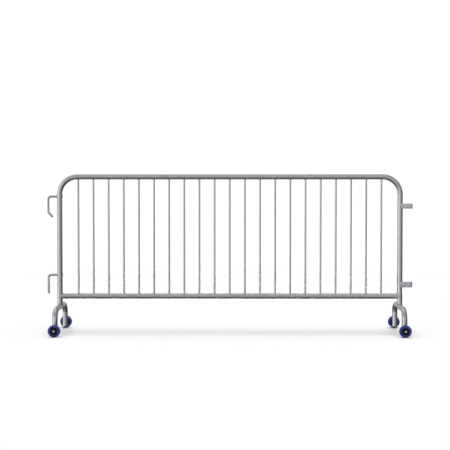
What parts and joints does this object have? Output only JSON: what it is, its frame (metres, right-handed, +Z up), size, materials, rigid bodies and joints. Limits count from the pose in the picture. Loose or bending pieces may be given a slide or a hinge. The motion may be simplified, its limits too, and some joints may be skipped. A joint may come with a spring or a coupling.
{
  "type": "crowd control barrier",
  "caption": "Free-standing steel crowd barrier with upright infill tubes, drop-in hooks at one end, strap sleeves at the other and bridge feet on rollers.",
  "frame": {"origin": "on the floor under the centre of the barrier's bounding box", "axes": "+X along the barrier from the hook end to the sleeve end, +Y across it from the front to the rear, +Z up"},
  "size_m": [2.7356, 0.6338, 1.1882],
  "materials": {
    "galvanised_steel": "hot-dip galvanised, satin with faint spangle",
    "zinc_plated_steel": "bright zinc plate",
    "blue_tyre": "moulded blue rubber, semi-matt",
    "black_plastic": "moulded black plastic, semi-matt"
  },
  "bodies": {
    "frame": {"frame_hoop": "galvanised_steel", "bottom_rail": "galvanised_steel", "picket_01": "galvanised_steel", "picket_02": "galvanised_steel", "picket_03": "galvanised_steel", "picket_04": "galvanised_steel", "picket_05": "galvanised_steel", "picket_06": "galvanised_steel", "picket_07": "galvanised_steel", "picket_08": "galvanised_steel", "picket_09": "galvanised_steel", "picket_10": "galvanised_steel", "picket_11": "galvanised_steel", "picket_12": "galvanised_steel", "picket_13": "galvanised_steel", "picket_14": "galvanised_steel", "picket_15": "galvanised_steel", "picket_16": "galvanised_steel", "picket_17": "galvanised_steel", "picket_18": "galvanised_steel", "picket_19": "galvanised_steel", "picket_20": "galvanised_steel", "picket_21": "galvanised_steel", "hook_upper": "galvanised_steel", "hook_lower": "galvanised_steel", "sleeve_upper": "galvanised_steel", "sleeve_lower": "galvanised_steel", "foot_left": "galvanised_steel", "foot_right": "galvanised_steel", "leg_spacer_front_left": "zinc_plated_steel", "axle_sleeve_front_left": "zinc_plated_steel", "axle_bolt_front_left": "zinc_plated_steel", "lock_nut_front_left": "zinc_plated_steel", "axle_washer_front_left": "black_plastic", "leg_spacer_front_right": "zinc_plated_steel", "axle_sleeve_front_right": "zinc_plated_steel", "axle_bolt_front_right": "zinc_plated_steel", "lock_nut_front_right": "zinc_plated_steel", "axle_washer_front_right": "black_plastic", "leg_spacer_rear_left": "zinc_plated_steel", "axle_sleeve_rear_left": "zinc_plated_steel", "axle_bolt_rear_left": "zinc_plated_steel", "lock_nut_rear_left": "zinc_plated_steel", "axle_washer_rear_left": "black_plastic", "leg_spacer_rear_right": "zinc_plated_steel", "axle_sleeve_rear_right": "zinc_plated_steel", "axle_bolt_rear_right": "zinc_plated_steel", "lock_nut_rear_right": "zinc_plated_steel", "axle_washer_rear_right": "black_plastic"},
    "wheel_front_left": {"tyre_front_left": "blue_tyre", "wheel_core_front_left": "black_plastic"},
    "wheel_front_right": {"tyre_front_right": "blue_tyre", "wheel_core_front_right": "black_plastic"},
    "wheel_rear_left": {"tyre_rear_left": "blue_tyre", "wheel_core_rear_left": "black_plastic"},
    "wheel_rear_right": {"tyre_rear_right": "blue_tyre", "wheel_core_rear_right": "black_plastic"}
  },
  "joints": [
    {"name": "front_left_roll", "type": "hinge", "parent": "frame", "child": "wheel_front_left", "pos_m": [-1.27415, -0.292, 0.045], "axis": [0, 1, 0], "continuous": true},
    {"name": "front_right_roll", "type": "hinge", "parent": "frame", "child": "wheel_front_right", "pos_m": [1.27685, -0.292, 0.045], "axis": [0, 1, 0], "continuous": true},
    {"name": "rear_left_roll", "type": "hinge", "parent": "frame", "child": "wheel_rear_left", "pos_m": [-1.27415, 0.292, 0.045], "axis": [0, 1, 0], "continuous": true},
    {"name": "rear_right_roll", "type": "hinge", "parent": "frame", "child": "wheel_rear_right", "pos_m": [1.27685, 0.292, 0.045], "axis": [0, 1, 0], "continuous": true}
  ]
}
